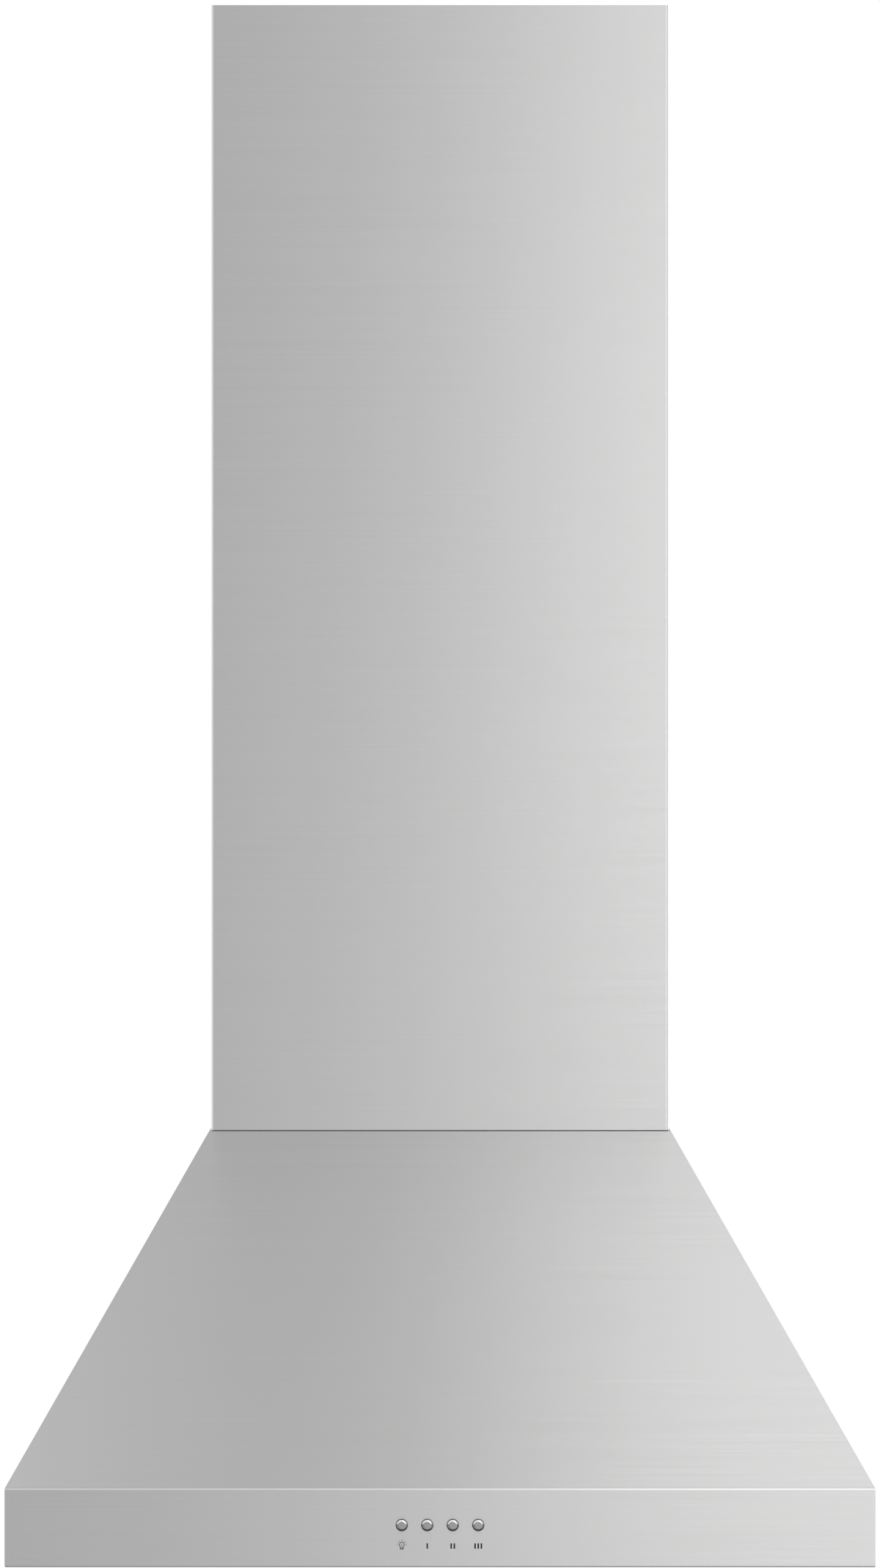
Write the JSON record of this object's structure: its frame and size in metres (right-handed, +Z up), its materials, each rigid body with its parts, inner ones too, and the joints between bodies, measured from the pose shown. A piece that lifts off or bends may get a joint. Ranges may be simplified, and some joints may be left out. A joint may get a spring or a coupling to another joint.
{
  "type": "wall mount range hood",
  "caption": "Wall mounted pyramid chimney hood in brushed steel with push buttons, grease filters, lamps, centrifugal blower and telescoping duct cover.",
  "frame": {"origin": "middle of the four wall bolts, on the wall plane", "axes": "+Z up, +Y into the wall, +X to the right when facing the hood"},
  "size_m": [0.598, 0.503, 1.083],
  "materials": {
    "brushed_steel": "horizontally brushed stainless steel",
    "zinc_steel": "zinc plated sheet steel",
    "zinc_screws": "bright zinc plated",
    "button_steel": "turned metal caps",
    "dark_plastic": "fine matt moulding",
    "casing_plastic": "galvanised sheet steel",
    "wheel_plastic": "moulded wheel",
    "shaft_steel": "ground steel",
    "motor_steel": "zinc plated motor can",
    "white_plastic": "white moulding",
    "filter_aluminium": "bare aluminium",
    "trim_chrome": "satin chrome ring",
    "lens_glass": "frosted glass",
    "lamp_board": "white board"
  },
  "bodies": {
    "root": {"back_panel": "zinc_steel", "blower_screws": "zinc_screws", "bottom_panel": "brushed_steel", "cable_gland": "dark_plastic", "canopy_shell": "brushed_steel", "capacitor": "white_plastic", "chimney_screws": "zinc_screws", "collar_screws": "zinc_screws", "damper_rod": "shaft_steel", "duct_collar": "dark_plastic", "lamp_bezel_left": "trim_chrome", "lamp_bezel_right": "trim_chrome", "lamp_board_left": "lamp_board", "lamp_board_right": "lamp_board", "lamp_housing_left": "zinc_steel", "lamp_housing_right": "zinc_steel", "lamp_lens_left": "lens_glass", "lamp_lens_right": "lens_glass", "levelling_block_left": "zinc_steel", "levelling_block_right": "zinc_steel", "levelling_bolts": "zinc_screws", "lower_chimney": "brushed_steel", "motor": "motor_steel", "motor_bracket": "zinc_steel", "motor_bracket_screws": "zinc_screws", "panel_screws": "zinc_screws", "scroll_left": "casing_plastic", "scroll_right": "casing_plastic", "switch_bracket": "zinc_steel", "switch_housing": "dark_plastic", "switch_screws": "zinc_screws", "terminal_block": "white_plastic", "terminal_box": "white_plastic", "terminal_cover": "white_plastic", "terminal_screws": "zinc_screws", "top_plate": "zinc_steel", "wall_hook_left": "zinc_steel", "wall_hook_right": "zinc_steel"},
    "upper_chimney": {"upper_chimney": "brushed_steel", "chimney_bracket": "zinc_steel", "upper_chimney_screws": "zinc_screws"},
    "impeller": {"impeller": "wheel_plastic", "motor_shaft": "shaft_steel"},
    "damper_front": {"damper_flap_front": "dark_plastic"},
    "damper_rear": {"damper_flap_rear": "dark_plastic"},
    "filter_left": {"filter_frame_left": "filter_aluminium", "filter_mesh_left": "filter_aluminium", "latch_case_left": "dark_plastic"},
    "latch_left": {"latch_slider_left": "dark_plastic"},
    "filter_right": {"filter_frame_right": "filter_aluminium", "filter_mesh_right": "filter_aluminium", "latch_case_right": "dark_plastic"},
    "latch_right": {"latch_slider_right": "dark_plastic"},
    "button_light": {"button_light": "button_steel"},
    "button_low": {"button_low": "button_steel"},
    "button_medium": {"button_medium": "button_steel"},
    "button_high": {"button_high": "button_steel"}
  },
  "joints": [
    {"name": "upper_chimney_slide", "type": "slide", "parent": "root", "child": "upper_chimney", "axis": [0, 0, 1], "range_m": [0, 0.35]},
    {"name": "impeller_spin", "type": "hinge", "parent": "root", "child": "impeller", "pos_m": [0, -0.1955, -0.0095], "axis": [1, 0, 0], "continuous": true},
    {"name": "damper_front_hinge", "type": "hinge", "parent": "root", "child": "damper_front", "pos_m": [0, -0.1375, 0.119], "axis": [-1, 0, 0], "range_deg": [0, 75]},
    {"name": "damper_rear_hinge", "type": "hinge", "parent": "root", "child": "damper_rear", "pos_m": [0, -0.1375, 0.119], "axis": [1, 0, 0], "range_deg": [0, 75]},
    {"name": "filter_left_hinge", "type": "hinge", "parent": "root", "child": "filter_left", "pos_m": [0, -0.0485, -0.1795], "axis": [1, 0, 0], "range_deg": [0, 70]},
    {"name": "latch_left_slide", "type": "slide", "parent": "filter_left", "child": "latch_left", "axis": [0, 1, 0], "range_m": [0, 0.006], "stiffness_N_per_m": 200, "springref_m": -0.004},
    {"name": "filter_right_hinge", "type": "hinge", "parent": "root", "child": "filter_right", "pos_m": [0, -0.0485, -0.1795], "axis": [1, 0, 0], "range_deg": [0, 70]},
    {"name": "latch_right_slide", "type": "slide", "parent": "filter_right", "child": "latch_right", "axis": [0, 1, 0], "range_m": [0, 0.006], "stiffness_N_per_m": 200, "springref_m": -0.004},
    {"name": "button_light_press", "type": "slide", "parent": "root", "child": "button_light", "axis": [0, 1, 0], "range_m": [0, 0.0025], "stiffness_N_per_m": 400, "springref_m": -0.002},
    {"name": "button_low_press", "type": "slide", "parent": "root", "child": "button_low", "axis": [0, 1, 0], "range_m": [0, 0.0025], "stiffness_N_per_m": 400, "springref_m": -0.002},
    {"name": "button_medium_press", "type": "slide", "parent": "root", "child": "button_medium", "axis": [0, 1, 0], "range_m": [0, 0.0025], "stiffness_N_per_m": 400, "springref_m": -0.002},
    {"name": "button_high_press", "type": "slide", "parent": "root", "child": "button_high", "axis": [0, 1, 0], "range_m": [0, 0.0025], "stiffness_N_per_m": 400, "springref_m": -0.002}
  ]
}
